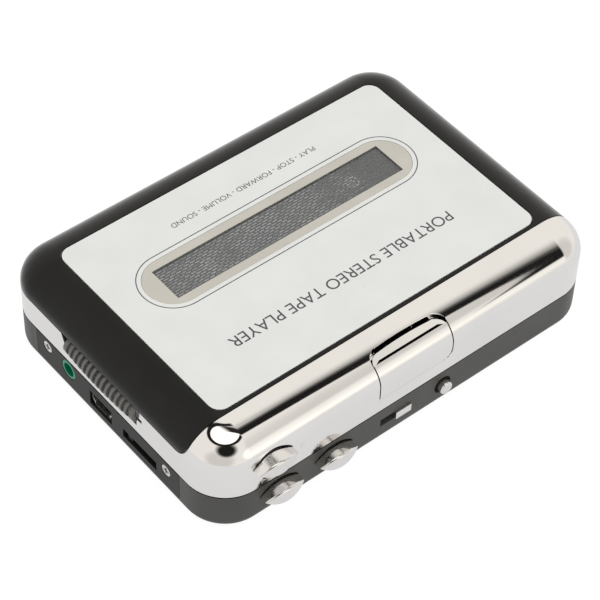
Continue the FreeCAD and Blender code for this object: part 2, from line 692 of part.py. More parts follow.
def build_mode_switch():
    body = box(MODE_SLOT[0] - 0.8, MODE_SLOT[1] + 0.8, -37.6, CONTROL_BOARD_Y[0], 4.3, 8.5)
    return body.cut(box(MODE_SLOT[0] + 0.2, MODE_SLOT[1] - 0.1, -38.0, -36.2, MODE_Z - 0.75, MODE_Z + 0.75))


def build_mode_knob():
    foot = box(MODE_KNOB[0] + 0.4, MODE_KNOB[1] - 0.2, -38.3, -36.4, MODE_Z - 0.6, MODE_Z + 0.6)
    low = MODE_Z - MODE_KNOB_HALF
    high = MODE_Z + MODE_KNOB_HALF
    head = box(MODE_KNOB[0], MODE_KNOB[1], FACE_Y - 0.7, -38.2, low, high)
    edges = [e for e in head.Edges if e.BoundBox.YMax < FACE_Y - 0.69]
    return joined([head.makeFillet(0.25, edges), foot])


# ---------------------------------------------------------------- door

def build_door_frame():
    shell = case_shell()
    door = shell.common(door_envelope(0))
    skirt_front = pillow(0.6, SEAM_HIGH).common(box(-FAR, FAR, DOOR_FRONT, DOOR_FRONT + 1.0, 22.6, FAR))
    roof = box(-PANEL_X, PANEL_X, PANEL_Y[0] + 1, PANEL_Y[1], HEIGHT - DOOR_ROOF, HEIGHT - 0.4)
    door = joined([door, skirt_front, roof])
    pocket = rounded_slab(PANEL_X + PANEL_GAP, PANEL_Y[0] - PANEL_GAP, PANEL_Y[1] + PANEL_GAP,
                          PANEL_CORNER + PANEL_GAP, HEIGHT - PANEL_THICK, FAR)
    window_hole = stadium(BEZEL_X - 0.6, BEZEL_R - 0.6, 20, FAR)
    knuckle_room = []
    knuckles = []
    for side in (-1, 1):
        x0, x1 = sorted((side * (KNUCKLE_X[0] - 0.2), side * (FRAME_KNUCKLE_X[1] + 0.25)))
        knuckle_room.append(box(x0, x1, 35.0, FAR, 0, HINGE_Z + KNUCKLE_R + 0.35))
        x0, x1 = sorted((side * KNUCKLE_X[0], side * KNUCKLE_X[1]))
        knuckles.append(hinge_knuckle(x0, x1, KNUCKLE_R, 4.0).common(pillow(0, SEAM_HIGH)))
    door = door.cut([pocket, window_hole] + knuckle_room)
    tongue = box(-4.0, 4.0, -30.3, DOOR_FRONT + 1.0, 22.6, 23.4)
    door = joined([door, tongue] + knuckles)
    holes = [rod(PIN_R + RUNNING, (side * 36.0, HINGE_Y, HINGE_Z), (side * 41.0, HINGE_Y, HINGE_Z))
             for side in (-1, 1)]
    return door.cut(holes)


def build_door_panel():
    plate = rounded_slab(PANEL_X, PANEL_Y[0], PANEL_Y[1], PANEL_CORNER, HEIGHT - PANEL_THICK,
                         HEIGHT - PANEL_BELOW)
    return plate.cut(stadium(BEZEL_X, BEZEL_R + 0.08, 20, FAR))


def build_window_bezel():
    ring = stadium(BEZEL_X, BEZEL_R, HEIGHT - PANEL_THICK, HEIGHT - 0.1)
    return ring.cut(box(-GLASS_X, GLASS_X, WINDOW_Y - GLASS_HALF_Y, WINDOW_Y + GLASS_HALF_Y, 20, FAR))


def build_window_lens():
    gap = 0.05
    return box(-GLASS_X + gap, GLASS_X - gap, WINDOW_Y - GLASS_HALF_Y + gap, WINDOW_Y + GLASS_HALF_Y - gap,
               HEIGHT - PANEL_THICK, HEIGHT - 0.15)


def build_window_mesh():
    return box(-GLASS_X, GLASS_X, WINDOW_Y - GLASS_HALF_Y, WINDOW_Y + GLASS_HALF_Y,
               HEIGHT - PANEL_THICK - 0.25, HEIGHT - PANEL_THICK - 0.05)


def build_cassette_holder():
    """Two bent channels that carry the tape by its ends, hung from a cross strap."""
    y0, y1 = HOLDER_Y
    low, top = HOLDER_Z
    outside = TAPE_HALF + 1.0
    pieces = []
    for side in (-1, 1):
        for reach, z0, z1 in ((TAPE_HALF + 0.3, low, top), (TAPE_HALF - 2.7, low, low + HOLDER_SHEET),
                              (44.0, top - 0.4, top + 0.2)):
            x0, x1 = sorted((side * reach, side * outside))
            pieces.append(box(x0, x1, y0, y1, z0, z1))
        x0, x1 = sorted((side * 44.0, side * 46.0))
        pieces.append(box(x0, x1, y0, y1, top, HEIGHT - DOOR_ROOF))
    pieces.append(box(-46.0, 46.0, 24.0, 28.0, HEIGHT - DOOR_ROOF - HOLDER_SHEET, HEIGHT - DOOR_ROOF))
    return joined(pieces).common(pillow(WALL + 0.1, 12.0))


def build_holder_springs():
    """Bowed leaf springs that press the tape down."""
    springs = []
    for x in (-38.0, 38.0):
        outer = Part.Arc(V(x, 14.0, 23.7), V(x, 19.0, 22.9), V(x, 21.8, 23.7)).toShape()
        inner = Part.Arc(V(x, 21.8, 23.4), V(x, 19.0, 22.6), V(x, 14.0, 23.4)).toShape()
        ends = [Part.LineSegment(V(x, 21.8, 23.7), V(x, 21.8, 23.4)).toShape(),
                Part.LineSegment(V(x, 14.0, 23.4), V(x, 14.0, 23.7)).toShape()]
        leaf = Part.Face(Part.Wire([outer, ends[0], inner, ends[1]])).extrude(X_AXIS * 4)
        tab = box(x, x + 4, 13.2, 14.3, 23.4, HEIGHT - DOOR_ROOF)
        springs.append(joined([leaf, tab]))
    return springs


def build_hinge_pins():
    return [rod(PIN_R, (side * 36.2, HINGE_Y, HINGE_Z), (side * 45.0, HINGE_Y, HINGE_Z)) for side in (-1, 1)]


# ---------------------------------------------------------------- mechanism

def idler_point(side):
    """Middle of the idler wheel, on the line from the flywheel hub to the reel wheel."""
    run = V(side * HUB_X, HUB_Y, 0) - V(side * CAPSTAN_X, CAPSTAN_Y, 0)
    reach = HUB_WHEEL_R + IDLER_R + (run.Length - HUB_WHEEL_R - REEL_R - 2 * IDLER_R) / 2
    return V(side * CAPSTAN_X, CAPSTAN_Y, 0) + run * (reach / run.Length)


def build_chassis_plate():
    z0, z1 = CHASSIS_Z
    plate = case_block(WALL + 0.2, z0, z1)
    pegs = []
    for side in (-1, 1):
        middle = idler_point(side)
        pegs.append(post(IDLER_PIN_R, middle.x, middle.y, WHEEL_Z[0] - 0.3, z0))
        pegs.append(post(TAPE_PEG_R, side * TAPE_PEG[0], TAPE_PEG[1], z1, TAPE_PEG_TOP))
    x0, x1, y0, y1 = CELL_BOX
    cuts = [box(x0 - 0.2, x1 + 0.2, y0 - 0.2, FAR, z0 - 1, z1 + 1)]
    cuts.append(box(-FAR, SIDE_X + 3.2, JACK[0] - 3.2, JACK[0] + 3.2, z0 - 1, z1 + 1))
    for side in (-1, 1):
        cuts.append(post(1.5 + RUNNING, side * HUB_X, HUB_Y, z0 - 1, z1 + 1))
        cuts.append(post(CAPSTAN_R + RUNNING, side * CAPSTAN_X, CAPSTAN_Y, z0 - 1, z1 + 1))
    cuts += [post(0.95, x, y, z0 - 1, z1 + 1) for x, y in case_screw_points()]
    return [plate.cut(cuts)] + pegs


def build_reel_spindle(side):
    x = side * HUB_X
    flange = post(5.0, x, HUB_Y, CHASSIS_Z[1] + 0.3, 12.2)
    core = post(2.4, x, HUB_Y, 12.0, 20.0)
    tip = Part.makeCone(2.4, 1.0, 1.6, V(x, HUB_Y, 20.0), Z_AXIS)
    shaft = post(1.5, x, HUB_Y, WHEEL_Z[0], 12.0)
    wings = []
    for n in range(3):
        wing = box(0, 3.7, -0.5, 0.5, 12.0, 18.5)
        wing.rotate(V(0, 0, 0), Z_AXIS, 120 * n + 30)
        wing.translate(V(x, HUB_Y, 0))
        wings.append(wing)
    return joined([flange, core, tip, shaft] + wings)


def wheel(x, y, radius, bore, z0, z1):
    """Rubber-rimmed wheel with a shallow dish in each face."""
    disc = post(radius, x, y, z0, z1).cut(post(bore, x, y, z0 - 1, z1 + 1))
    dish = post(radius - 1.4, x, y, z1 - 0.4, z1 + 1).cut(post(bore + 1.0, x, y, z0, z1 + 1))
    return disc.cut(dish)


def build_flywheel(side):
    x = side * CAPSTAN_X
    z0, z1 = FLYWHEEL_Z
    disc = wheel(x, CAPSTAN_Y, FLYWHEEL_R, CAPSTAN_R, z0, z1)
    hub = post(HUB_WHEEL_R, x, CAPSTAN_Y, WHEEL_Z[0], WHEEL_Z[1])
    neck = post(2.0, x, CAPSTAN_Y, z0, WHEEL_Z[1])
    bore = post(CAPSTAN_R, x, CAPSTAN_Y, z0 - 1, WHEEL_Z[1] + 1)
    return joined([disc, hub.cut(bore), neck.cut(bore)])


def build_motor():
    x, y = MOTOR
    can = post(MOTOR_R, x, y, MOTOR_Z[0], MOTOR_Z[1])
    rim = [e for e in can.Edges if e.BoundBox.ZMax < MOTOR_Z[0] + 0.01]
    can = can.makeFillet(0.8, rim)
    return can.cut(post(0.75 + RUNNING, x, y, 0, 8.2))


def build_motor_pulley():
    x, y = MOTOR
    pulley = post(PULLEY_R, x, y, 3.6, 5.7)
    return joined([pulley, post(0.75, x, y, 3.4, 8.0)])


def build_drive_belt():
    """Flat belt round the motor pulley and both flywheels, outside the wheels."""
    wheels = [(V(*MOTOR, 0), PULLEY_R), (V(-CAPSTAN_X, CAPSTAN_Y, 0), FLYWHEEL_R),
              (V(CAPSTAN_X, CAPSTAN_Y, 0), FLYWHEEL_R)]

    def loop(grow):
        edges = []
        normals = []
        for n, (centre, radius) in enumerate(wheels):
            target, target_radius = wheels[(n + 1) % 3]
            run = target - centre
            heading = math.atan2(run.y, run.x) - math.asin((target_radius - radius) / run.Length)
            normals.append(V(math.sin(heading), -math.cos(heading), 0))
        for n, (centre, radius) in enumerate(wheels):
            target, target_radius = wheels[(n + 1) % 3]
            incoming = normals[n - 1]
            outgoing = normals[n]
            middle = (incoming + outgoing).normalize()
            reach = radius + grow
            edges.append(Part.Arc(centre + incoming * reach, centre + middle * reach,
                                  centre + outgoing * reach).toShape())
            edges.append(Part.LineSegment(centre + outgoing * reach,
                                          target + outgoing * (target_radius + grow)).toShape())
        face = Part.Face(Part.Wire(edges))
        face.translate(V(0, 0, BELT_Z[0]))
        return face.extrude(Z_AXIS * (BELT_Z[1] - BELT_Z[0]))

    return loop(BELT_GAP + BELT_THICK).cut(loop(BELT_GAP))


def build_head_bridge():
    z0, z1 = BRIDGE_Z
    plate = box(-33.0, 33.0, BRIDGE_Y[0], BRIDGE_Y[1], z0, z1)
    windows = [box(x - 3.5, x + 3.5, -35.4, -34.4, z0 - 1, z1 + 1) for x in (-15.0, 18.0)]
    windows.append(box(7.6, 11.0, BRIDGE_Y[0] - 1, -34.2, z0 - 1, z1 + 1))
    pins = [post(0.8, side * CAPSTAN_X, PINCH_Y, z1 - 0.2, 20.5) for side in (-1, 1)]
    return joined([plate.cut(windows)] + pins)


def build_tape_head():
    """Playback head with a rounded face and two guide forks."""
    depth = 7.0
    body = box(-6.0, 6.0, HEAD_FACE - depth, HEAD_FACE, BRIDGE_Z[1], 20.0)
    edges = [e for e in body.Edges if abs(e.BoundBox.YMin - HEAD_FACE) < 0.01 and e.BoundBox.ZLength > 5]
    body = body.makeFillet(2.6, edges)
    forks = [box(x, x + 1.2, HEAD_FACE - 4, HEAD_FACE + 0.2, 15.2, 20.8) for x in (-7.2, 6.0)]
    return joined([body] + forks)


def build_pinch_roller(side):
    x = side * CAPSTAN_X
    roller = post(PINCH_R, x, PINCH_Y, 14.6, 20.2)
    return roller.cut(post(0.8 + RUNNING, x, PINCH_Y, 12, 22))


def export_all():
    save("rear_housing", build_rear_housing())
    save("battery_box", build_battery_box())
    save("battery_cover", build_battery_cover())
    save("battery_springs", build_battery_springs())
    save("battery_contact_plates", build_battery_plates())
    save("case_screws", build_case_screws())
    save("port_plate", build_port_plate())
    save("port_plate_screws", build_port_plate_screws())
    save("headphone_jack_ring", build_headphone_jack())
    save("headphone_jack_body", build_jack_body())
    save("usb_shell", build_usb_shell())
    save("usb_tongue", build_usb_tongue())
    save("bass_switch_body", build_bass_switch())
    save("bass_switch_knob", build_bass_knob())
    save("volume_roller", build_volume_roller())
    save("volume_potentiometer", build_volume_pot())
    save("circuit_board", build_circuit_board())
    save("audio_chips", build_audio_chips())
    save("capacitors", build_capacitors())
    save("chrome_frame", build_chrome_frame())
    save("open_latch_button", build_latch_button())
    save("latch_pins", build_latch_pins())
    save("latch_spring", build_latch_spring())
    save("latch_bracket", build_latch_bracket())
    save("stop_key", key(*STOP_KEY))
    save("play_key", key(*PLAY_KEY))
    save("fast_forward_key", key(*FORWARD_KEY))
    save("direction_key", build_round_key())
    save("key_springs", build_key_springs())
    save("control_board", build_control_board())
    save("key_switches", build_key_switches())
    save("stop_key_bracket", build_stop_bracket())
    save("mode_switch_body", build_mode_switch())
    save("mode_switch_knob", build_mode_knob())
    save("door_frame", build_door_frame())
    save("door_panel", build_door_panel())
    save("window_bezel", build_window_bezel())
    save("window_lens", build_window_lens())
    save("window_mesh", build_window_mesh())
    save("cassette_holder", build_cassette_holder())
    save("holder_springs", build_holder_springs())
    save("hinge_pins", build_hinge_pins())
    save("chassis_plate", build_chassis_plate())
    save("drive_motor", build_motor())
    save("motor_pulley", build_motor_pulley())
    save("drive_belt", build_drive_belt())
    save("head_bridge", build_head_bridge())
    save("tape_head", build_tape_head())
    for side, label in ((-1, "left"), (1, "right")):
        middle = idler_point(side)
        save("reel_spindle_" + label, build_reel_spindle(side))
        save("reel_wheel_" + label, wheel(side * HUB_X, HUB_Y, REEL_R, 1.5, *WHEEL_Z))
        save("idler_wheel_" + label, wheel(middle.x, middle.y, IDLER_R, IDLER_PIN_R + RUNNING, *WHEEL_Z))
        save("flywheel_" + label, build_flywheel(side))
        save("capstan_" + label, post(CAPSTAN_R, side * CAPSTAN_X, CAPSTAN_Y, 2.0, 21.0))
        save("pinch_roller_" + label, build_pinch_roller(side))


os.makedirs("parts", exist_ok=True)
export_all()
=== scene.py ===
import json
import math

import bmesh
import bpy
from mathutils import Matrix, Vector


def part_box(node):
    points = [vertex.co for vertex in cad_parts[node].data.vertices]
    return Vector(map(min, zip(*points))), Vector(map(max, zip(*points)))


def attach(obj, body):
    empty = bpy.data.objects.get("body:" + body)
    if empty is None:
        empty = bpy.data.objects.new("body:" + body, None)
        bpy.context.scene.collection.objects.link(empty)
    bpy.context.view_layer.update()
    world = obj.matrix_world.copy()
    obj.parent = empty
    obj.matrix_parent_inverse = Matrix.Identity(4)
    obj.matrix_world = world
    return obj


# Looks of a pocket cassette player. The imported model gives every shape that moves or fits.
# Sizes here are millimetres and become metres through MM.

MM = 0.001
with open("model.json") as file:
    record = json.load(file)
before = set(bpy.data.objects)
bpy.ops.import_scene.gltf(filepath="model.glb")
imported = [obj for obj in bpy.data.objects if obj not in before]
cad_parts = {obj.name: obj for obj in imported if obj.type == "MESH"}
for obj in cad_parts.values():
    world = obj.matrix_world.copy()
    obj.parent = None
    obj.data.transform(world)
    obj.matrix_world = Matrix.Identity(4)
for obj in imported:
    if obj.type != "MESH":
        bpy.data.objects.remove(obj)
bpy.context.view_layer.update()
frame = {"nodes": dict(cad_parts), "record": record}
nodes = frame["nodes"]

# camera
CAMERA_PLACE = (-232.315, -267.565, 400.430)
CAMERA_AZIMUTH = -40.902
CAMERA_ELEVATION = 48.090
CAMERA_ROLL = 2.245
CAMERA_LENS = 136.296
SENSOR = 36.0
CLIP_START = 10.0
CLIP_END = 10000.0

# grain of the materials
NOISE_LOW = 0.3
NOISE_HIGH = 0.7
NOISE_DETAIL = 2.0
COLOUR_PATCH = 9.0
SHEEN_START = 0.35
SHEEN_END = 0.85
SHEEN_WEIGHT = 1.0
SHEEN_ROUGHNESS = 0.35
SATIN_NODES = ("stop_key", "play_key", "fast_forward_key", "direction_key", "mode_switch_knob")

# plain surfaces: dark and light colour, range of roughness, size of the grain, its depth, the rest
LOOKS = {
    "door_plastic": ((0.005, 0.005, 0.0045), (0.007, 0.007, 0.006), (0.30, 0.38),
        0.16, 0.0015, {"specular": 0.25}),
    "black_plastic": ((0.055, 0.054, 0.049), (0.068, 0.067, 0.061), (0.38, 0.48),
        0.2, 0.004, {"specular": 0.35}),
    "port_plastic": ((0.010, 0.010, 0.009), (0.014, 0.014, 0.013), (0.34, 0.44),
        0.2, 0.004, {"specular": 0.2}),
    "dark_insert": ((0.008, 0.008, 0.008), (0.012, 0.012, 0.012), (0.45, 0.55), 0.25, 0.005, {}),
    "chrome_plate": ((0.86, 0.85, 0.84), (0.89, 0.88, 0.87), (0.02, 0.045),
        0.4, 0.00002, {"metallic": 1.0, "patch": 14.0}),
    "chrome_keys": ((0.80, 0.79, 0.78), (0.86, 0.85, 0.84), (0.14, 0.22),
        0.5, 0.0006, {"metallic": 1.0, "patch": 3.0}),
    "silver_sheet": ((0.715, 0.725, 0.70), (0.745, 0.755, 0.725), (0.38, 0.52), 0.12, 0.002, {}),
    "window_border": ((0.51, 0.485, 0.425), (0.55, 0.525, 0.46), (0.20, 0.28), 0.3, 0.001, {}),
    "jack_green": ((0.0, 0.20, 0.095), (0.0, 0.24, 0.115), (0.20, 0.30), 0.3, 0.003, {}),
    "steel": ((0.55, 0.55, 0.54), (0.66, 0.66, 0.65), (0.22, 0.38),
        0.25, 0.003, {"metallic": 1.0, "stretch": (1.0, 12.0, 12.0)}),
    "screw_steel": ((0.66, 0.65, 0.62), (0.76, 0.75, 0.72), (0.20, 0.34), 0.15, 0.002, {"metallic": 1.0}),
    "spring_steel": ((0.42, 0.42, 0.42), (0.55, 0.55, 0.55), (0.25, 0.38), 0.15, 0.002, {"metallic": 1.0}),
    "roller_plastic": ((0.105, 0.103, 0.095), (0.16, 0.155, 0.145), (0.28, 0.4), 0.25, 0.006, {}),
    "component_black": ((0.010, 0.010, 0.010), (0.018, 0.018, 0.018), (0.5, 0.65), 0.2, 0.006, {}),
    "capacitor_can": ((0.10, 0.12, 0.22), (0.14, 0.16, 0.28), (0.25, 0.35), 0.3, 0.002, {}),
    "spindle_plastic": ((0.66, 0.66, 0.62), (0.74, 0.74, 0.70), (0.35, 0.48), 0.3, 0.004, {}),
    "flywheel_brass": ((0.58, 0.42, 0.17), (0.72, 0.54, 0.25), (0.20, 0.34), 0.3, 0.003, {"metallic": 1.0}),
    "wheel_rubber": ((0.014, 0.014, 0.014), (0.024, 0.024, 0.024), (0.65, 0.8), 0.2, 0.012, {}),
    "belt_rubber": ((0.010, 0.010, 0.010), (0.016, 0.016, 0.016), (0.6, 0.75), 0.2, 0.010, {}),
    "head_metal": ((0.70, 0.70, 0.68), (0.80, 0.80, 0.78), (0.08, 0.16), 0.3, 0.001, {"metallic": 1.0}),
    "contact_metal": ((0.60, 0.50, 0.26), (0.72, 0.62, 0.36), (0.22, 0.34), 0.2, 0.002, {"metallic": 1.0}),
    "felt": ((0.002, 0.002, 0.002), (0.004, 0.004, 0.004), (0.9, 1.0), 0.2, 0.01, {"specular": 0.0}),
    "print_ink": ((0.055, 0.062, 0.068), (0.075, 0.082, 0.088), (0.4, 0.55), 0.15, 0.001, {}),
}

# circuit board
TRACK_LENGTH = 3.2
TRACK_ROW = 1.1
TRACK_GAP = 0.12
TRACK_DARK = (0.012, 0.105, 0.040, 1)
TRACK_LIGHT = (0.016, 0.125, 0.050, 1)
TRACK_EDGE = (0.030, 0.20, 0.085, 1)
TRACK_RELIEF = 0.03
BOARD_GRAIN = 0.3
BOARD_ROUGHNESS = (0.22, 0.34)

# window: clear lens over a foil with raised dashes, whose highlights are painted
LENS_IOR = 1.46
LENS_TINT = (0.90, 0.90, 0.90, 1)
LENS_BASE = (0.02, 0.02, 0.02, 1)
LENS_GRAIN = 0.8
LENS_ROUGHNESS = (0.02, 0.05)
LENS_RELIEF = 0.0003
LENS_CURVE = 3.0
LENS_MIRROR = 0.04
HUB_MARK_R = 1.9
HUB_MARK_GLOW = 0.42
HUB_MARK_STOPS = ((0.0, 0.7), (0.25, 0.9), (0.34, 0.1), (0.62, 0.1), (0.72, 1.0), (0.85, 0.8), (1.0, 0.0))
DASH_PITCH = 1.75
DASH_ROW = 0.70
DASH_GAP = 0.26
DASH_SOFT = 0.3
DASH_WEAK = 0.6
DASH_RELIEF = 0.02
DASH_PATCH = 11.0
DASH_PATCH_LOW = 0.6
# painted highlight: the dashes' light colour grows fainter towards +x
HIGHLIGHT_FADE_START = 11.0
HIGHLIGHT_FADE_END = 32.0
HIGHLIGHT_FADE_TO = 0.15
SCREEN_GROUND = (0.288, 0.290, 0.288)
# painted highlight: the light colour of the dashes
SCREEN_DASH_HIGHLIGHT = (0.82, 0.83, 0.825)
SCREEN_GRAIN = 0.3
SCREEN_ROUGHNESS = (0.35, 0.5)

# rounded top edge of the case, and the normals borrowed from it
HALF_X = 56.0
HALF_Y = 39.75
HEIGHT = 25.8
CORNER = 10.5
ROLL_OUT = 9.2
ROLL_DOWN = 7.0
SIDE_FOOT = 10.0
FLAT_RIM = 1.0
CORNER_STEPS = 24
ROLL_STEPS = 48
NORMAL_LIFT = 0.012
NORMAL_REACH = 0.025

# marks beside the keys: name, middle x, middle z, kind
KEY_MARKS = (("mark_stop", -32.6, 16.4, "square"), ("mark_play", -43.2, 12.4, "triangle"),
             ("mark_forward", -28.0, 12.6, "double"))
MARK_HALF = 0.55
MARK_BACK = -39.70
MARK_FRONT = -39.83
MARK_BEVEL = 0.04
MARK_BEVEL_STEPS = 2
MARK_NEAR = 0.001

# painted shade in the seam, and a painted dark reflection along the fold of the latch
SEAM_LOW = 10.65
# painted shade: a black band in the gap of the seam
SEAM_SHADE_OUT = 0.05
SEAM_SHADE_IN = 0.85
SEAM_SHADE_THICK = 0.12
CREASE_HALF = 9.7
CREASE_TAPER = 1.2
CREASE_TIP = 0.2
CREASE_Y = -36.98
CREASE_Z = 23.49
CREASE_SLOPE = 0.2125
CREASE_WIDTH = 0.75
CREASE_THICK = 0.06

# printing on the silver panel
PRINT_LIFT = 0.008
PRINT_THICK = 0.006
TITLE = "PORTABLE STEREO TAPE PLAYER"
TITLE_HALF_WIDTH = 32.0
TITLE_Y = -14.0
SUBTITLE = "PLAY - STOP - FORWARD - VOLUME - SOUND"
SUBTITLE_HALF_WIDTH = 21.0
SUBTITLE_Y = 22.0
RING_X = 30.6
RING_R = 8.4
RING_WIDTH = 0.25
RING_STEPS = 40
WINDOW_Y = 8.6
HUB_X = 21.25
HUB_Y = 8.2

# floor
FLOOR_HALF = 3000.0
FLOOR_DROP = 0.02
FLOOR_PATCH = 40.0
FLOOR_DARK = (0.13, 0.13, 0.13)
FLOOR_LIGHT = (0.14, 0.14, 0.14)
FLOOR_ROUGHNESS = 0.9
FLOOR_GLOW = 0.93
FLOOR_MIRRORED = 0.66

# A curve is (low, high, stops); a stop is (dot product with a direction, amount).
# A place is (azimuth, elevation), and a spot is (place, outer radius, inner radius), all in degrees.

# light that everything but mirrors sees
WORLD_LIGHT = (1.0, 0.998, 0.995, 1)
WORLD_STRENGTH = 1.3
WORLD_SIDES = (-1.0, 1.0, ((-1.0, 0.62), (1.0, 1.0)))

# studio that mirrors see; a soft shade is a place, its two radii and its depth
MIRROR_LIGHT = (0.915, 0.88, 0.825, 1)
STRIP_NORMAL = (0.842, 0.402, -0.359)
STRIP_EDGE = (0.462, 0.402, -0.359)
STRIP_SHIFT = 0.194
STRIP_DEPTH = 0.985
STRIP_UPPER = (-0.1, 0.2, ((0.0, 1.0), (0.02, 0.92), (0.045, 0.62), (0.065, 0.42), (0.085, 0.25),
                           (0.11, 0.08), (0.15, 0.0)))
STRIP_LOWER = (-0.1, 0.1, ((-0.036, 0.0), (-0.024, 1.0)))
STRIP_ABOVE = (0.0, 1.0, ((0.32, 0.0), (0.44, 1.0)))
STRIP_EAST = (0.0, 1.0, ((0.10, 0.0), (0.25, 1.0)))
LAMP = (0.03, 0.05, 0.998)
LAMP_DISC = (0.8, 1.0, ((0.922, 0.0), (0.932, 1.0)))
LAMP_RIM = (0.8, 1.0, ((0.872, 0.0), (0.888, 1.0), (0.922, 1.0), (0.932, 0.0)))
LAMP_RIM_EAST = (0.0, 1.0, ((0.345, 1.0), (0.39, 0.0)))
LAMP_EXTRA = 0.6
LAMP_SHADE = ((-34, 53), 25, 13)
SOFTBOX = ((20, 20), 20, 10)
SOFTBOX_EXTRA = 0.35
SOFT_SHADES = (((-50, 20), 38, 18, 0.25), ((52, 30), 32, 12, 0.24))


# ---------------------------------------------------------------- node helpers

def new_material(name):
    """A node material with its Principled shader."""
    material = bpy.data.materials.new(name)
    material.use_nodes = True
    return material, material.node_tree.nodes["Principled BSDF"]


def link(owner, start, end):
    """Joins two sockets of a material or a world."""
    owner.node_tree.links.new(start, end)


def add(owner, kind, **values):
    """Adds a node to a material or a world; a value is set on the input of that name."""
    node = owner.node_tree.nodes.new(kind)
    for name, value in values.items():
        node.inputs[name.replace("_", " ")].default_value = value
    return node


def maths(owner, operation, *values):
    """Math node; each value is a number or another node's output."""
    node = add(owner, "ShaderNodeMath")
    node.operation = operation
    for socket, value in zip(node.inputs, values):
        if isinstance(value, float):
            socket.default_value = value
        else:
            link(owner, value, socket)
    return node.outputs["Value"]


def grey_curve(owner, source, low, high, stops, interpolation):
    """Curve of grey values over a range of the source; stops are (source value, grey)."""
    ranged = add(owner, "ShaderNodeMapRange", From_Min=low, From_Max=high)
    link(owner, source, ranged.inputs["Value"])
    ramp = add(owner, "ShaderNodeValToRGB")
    ramp.color_ramp.interpolation = interpolation
    while len(ramp.color_ramp.elements) < len(stops):
        ramp.color_ramp.elements.new(1.0)
    for element, (place, grey) in zip(ramp.color_ramp.elements, stops):
        element.position = (place - low) / (high - low)
        element.color = (grey, grey, grey, 1)
    link(owner, ranged.outputs["Result"], ramp.inputs["Fac"])
    return ramp.outputs["Color"]


def object_place(material):
    """Texture coordinates in metres, in the piece's own frame."""
    return add(material, "ShaderNodeTexCoord").outputs["Object"]


def noise(material, size, stretch=None):
    """Noise with features of about size millimetres; stretch multiplies its scale along x, y and z."""
    texture = add(material, "ShaderNodeTexNoise", Scale=1 / (size * MM), Detail=NOISE_DETAIL)
    place = object_place(material)
    if stretch:
        mapping = add(material, "ShaderNodeMapping", Scale=stretch)
        link(material, place, mapping.inputs["Vector"])
        place = mapping.outputs["Vector"]
    link(material, place, texture.inputs["Vector"])
    return texture.outputs["Fac"]


def spread(material, source, low, high):
    """Maps the middle of a noise to a range of values."""
    ranged = add(material, "ShaderNodeMapRange", From_Min=NOISE_LOW, From_Max=NOISE_HIGH, To_Min=low,
                 To_Max=high)
    link(material, source, ranged.inputs["Value"])
    return ranged.outputs["Result"]


def tint(material, source, dark, light):
    """Mixes two colours by a noise or another amount, over the same middle range."""
    ramp = add(material, "ShaderNodeValToRGB")
    ramp.color_ramp.elements[0].position = NOISE_LOW
    ramp.color_ramp.elements[0].color = (*dark, 1)
    ramp.color_ramp.elements[1].position = NOISE_HIGH
    ramp.color_ramp.elements[1].color = (*light, 1)
    link(material, source, ramp.inputs["Fac"])
    return ramp.outputs["Color"]


def bump(material, shader, height, depth):
    """Relief of about depth millimetres."""
    node = add(material, "ShaderNodeBump", Strength=1.0, Distance=depth * MM)
    link(material, height, node.inputs["Height"])
    link(material, node.outputs["Normal"], shader.inputs["Normal"])


def surface(name, dark, light, roughness, grain, relief, metallic=0.0, stretch=None, patch=COLOUR_PATCH,
            specular=0.5):
    """Material with a fine grain in its relief, and slow changes of colour and roughness."""
    material, shader = new_material(name)
    slow = noise(material, patch)
    fine = noise(material, grain, stretch)
    link(material, tint(material, slow, dark, light), shader.inputs["Base Color"])
    link(material, spread(material, fine, *roughness), shader.inputs["Roughness"])
    bump(material, shader, fine, relief)
    shader.inputs["Metallic"].default_value = metallic
    shader.inputs["Specular IOR Level"].default_value = specular
    return material


# ---------------------------------------------------------------- materials

def make_materials():
    """Every look by its name: the record's slots, satin chrome, felt and ink."""
    made = {}
    for name, (dark, light, roughness, grain, relief, rest) in LOOKS.items():
        made[name] = surface(name, dark, light, roughness, grain, relief, **rest)
    edge_sheen(made["door_plastic"])
    made["board"] = board_material()
    made["window_clear"] = lens_material()
    made["window_screen"] = screen_material()
    return made


def edge_sheen(material):
    """The matt plastic looks paler where it is seen nearly edge-on."""
    shader = material.node_tree.nodes["Principled BSDF"]
    shader.inputs["Sheen Roughness"].default_value = SHEEN_ROUGHNESS
    edge = add(material, "ShaderNodeLayerWeight", Blend=0.5)
    share = add(material, "ShaderNodeMapRange", From_Min=SHEEN_START, From_Max=SHEEN_END,
                To_Min=0.0, To_Max=SHEEN_WEIGHT)
    link(material, edge.outputs["Facing"], share.inputs["Value"])
    link(material, share.outputs["Result"], shader.inputs["Sheen Weight"])


def board_material():
    """Green solder mask over slightly raised tracks."""
    material, shader = new_material("board")
    tracks = add(material, "ShaderNodeTexBrick", Scale=1 / MM, Mortar_Size=TRACK_GAP,
                 Brick_Width=TRACK_LENGTH, Row_Height=TRACK_ROW, Color1=TRACK_DARK, Color2=TRACK_LIGHT,
                 Mortar=TRACK_EDGE)
    link(material, object_place(material), tracks.inputs["Vector"])
    link(material, tracks.outputs["Color"], shader.inputs["Base Color"])
    roughness = spread(material, noise(material, BOARD_GRAIN), *BOARD_ROUGHNESS)
    link(material, roughness, shader.inputs["Roughness"])
    bump(material, shader, tracks.outputs["Fac"], TRACK_RELIEF)
    return material


